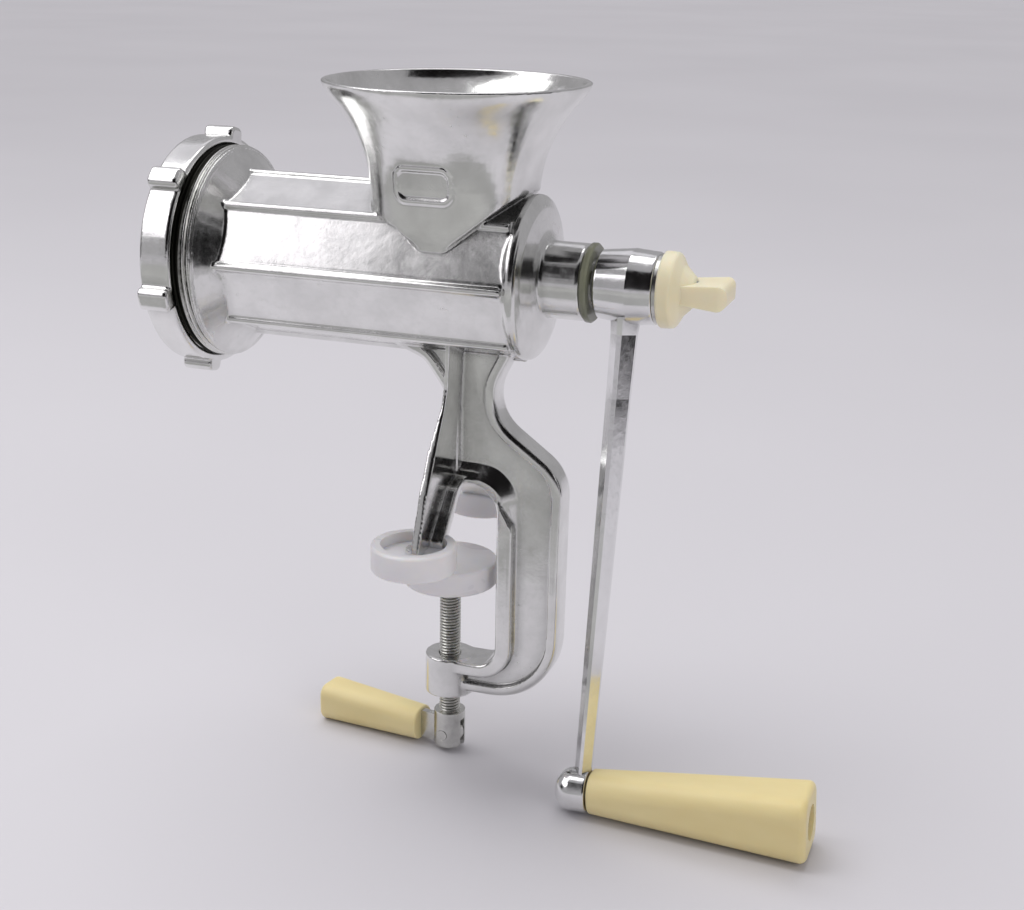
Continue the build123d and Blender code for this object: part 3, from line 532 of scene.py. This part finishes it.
def sky_light(name, place, strength, angle):
    """A very soft, even light from the direction of place."""
    data = bpy.data.lights.new(name, "SUN")
    data.energy = strength
    data.angle = radians(angle)
    light = bpy.data.objects.new(name, data)
    scene.collection.objects.link(light)
    light.rotation_euler = Vector(place).to_track_quat("Z", "Y").to_euler()
    light.location = place
    return light


def make_world():
    """An even grey surrounding, which fills the shadows."""
    world = bpy.data.worlds.new("studio")
    world.use_nodes = True
    scene.world = world
    backing = next(n for n in world.node_tree.nodes if n.type == "BACKGROUND")
    backing.inputs["Color"].default_value = (0.64, 0.63, 0.65, 1.0)
    backing.inputs["Strength"].default_value = 0.6


def make_studio():
    """Floor, lights, and the bright and dark cards that shape what the polished metal mirrors."""
    make_floor()
    make_world()
    overhead = sky_light("overhead", (-0.35, 0.25, 1.0), 1.75, 60.0)
    softbox("key_light", (-0.75, -0.1, 1.2), (-0.25, 0.35, -0.09), 0.9, 0.9, 6.0)
    right_fill = softbox("right_fill", (1.1, -0.8, 0.7), (0.0, 0.0, 0.0), 0.9, 0.9, 5.0)
    for light in (overhead, right_fill):
        light.visible_glossy = False
    card("left_panel", (-0.84, -0.58, 0.66), (0.0, 0.0, 0.1), 0.95, 0.50, (1.0, 0.98, 1.0), 1.1)
    card("back_left_panel", (-0.445, 0.503, 0.841), (0.0, 0.0, 0.1), 0.8, 0.5, (0.46, 0.455, 0.47), 1.0)
    card("top_panel", (-0.15, 0.16, 1.1), (0.0, 0.0, 0.1), 1.2, 0.36, (1.0, 1.0, 1.0), 1.5)
    card("dark_room", (0.42, -0.95, 0.78), (0.0, 0.0, 0.12), 1.9, 1.45, (0.012, 0.011, 0.011))
    card("dark_right", (0.90, -0.10, 0.16), (0.0, 0.0, 0.12), 0.7, 0.5, (0.015, 0.015, 0.015))
    card("dark_low_left", (-0.95, -0.55, 0.16), (0.0, 0.0, 0.1), 0.5, 0.25, (0.03, 0.03, 0.03))
    card("grey_near", (0.0, -0.34, -0.0895), (0.0, -0.34, 1.0), 1.9, 0.30, (0.34, 0.34, 0.335))
    card("grey_far", (0.0, -0.99, -0.0895), (0.0, -0.99, 1.0), 1.9, 1.0, (0.42, 0.42, 0.41))
    scene.view_settings.view_transform = "Standard"
    scene.view_settings.look = "None"


# ---------------------------------------------------------------------------------------------
# The model
# ---------------------------------------------------------------------------------------------
make_camera()
make_studio()
dress_nodes()

AXIS_Z = sum(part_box("ring_nut")[k].z for k in (0, 1)) / 2
MOUTH_FRONT_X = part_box("plate_key_pin")[0].x
MOUTH_LENGTH = 14.1 * MM
MOUTH_REAR_X = MOUTH_FRONT_X + MOUTH_LENGTH
NUT_REAR_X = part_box("ring_nut")[1].x
# painted shade band just behind the ring nut's rear edge, in the gap between nut and thread
NUT_GAP_SHADE_BAND = (NUT_REAR_X - 0.4 * MM, NUT_REAR_X + 1.9 * MM)
THREAD_CREST = 40.0 * MM
THREAD_ROOT = 38.5 * MM
THREAD_SHELL = 0.6 * MM  # thickness of the thread piece inside its grooves
MOUTH_PITCH = 2.0 * MM


def bare_mouth(point):
    """Take the ridges off the mouth: the helical thread is a piece of its own."""
    radius = (point.y ** 2 + (point.z - AXIS_Z) ** 2) ** 0.5
    if point.x > MOUTH_REAR_X - 0.1 * MM or radius <= THREAD_ROOT:
        return point
    share = THREAD_ROOT / radius
    return Vector((point.x, point.y * share, AXIS_Z + (point.z - AXIS_Z) * share))


soft_cast("cast_housing", "housing", "housing", casting, 0.5 * MM, 4, 198000, bare_mouth)
soft_cast("cast_ring_nut", "ring_nut", "ring_nut", ring_cast, 0.45 * MM, 3, 120000)
CLEVIS_TOP_Z = -73.6 * MM
SCREW_RADIUS = 4.2 * MM
SCREW_GROOVE = 0.62 * MM  # depth of the screw's thread
SCREW_PITCH = 1.25 * MM  # as it is drawn; the joint's coupling moves 1.75 mm a turn
clevis("screw_clevis", "clamp_screw", CLEVIS_TOP_Z + 0.2 * MM)
screw_start_z = CLEVIS_TOP_Z - 0.5 * MM
screw_end_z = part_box("swivel_disc")[0].z + 0.1 * MM
screw_thread = threaded_tube(
    "screw_thread", Matrix.Translation((0, 0, screw_start_z)),
    screw_end_z - screw_start_z, SCREW_RADIUS, SCREW_GROOVE, SCREW_PITCH, 0.0, 40,
)
# the screw thread's grooves get a near-black painted shade
dress(screw_thread, thread_look("screw_steel", (0.70, 0.70, 0.66), (0.10, 0.10, 0.08), 0.25))
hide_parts("clamp_screw")
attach(screw_thread, "clamp_screw")

along_barrel = Matrix.Translation((MOUTH_FRONT_X, 0, AXIS_Z)) @ Matrix.Rotation(pi / 2, 4, "Y")
mouth_thread = threaded_tube(
    "mouth_thread", along_barrel, MOUTH_LENGTH,
    THREAD_CREST, THREAD_CREST - THREAD_ROOT, MOUTH_PITCH, THREAD_ROOT - THREAD_SHELL, 192, 0.4,
)
# the mouth thread's grooves get a near-black painted shade
dress(mouth_thread, thread_look("thread_metal", (0.74, 0.74, 0.72), (0.03, 0.03, 0.025), 0.22, NUT_GAP_SHADE_BAND))
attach(mouth_thread, "housing")
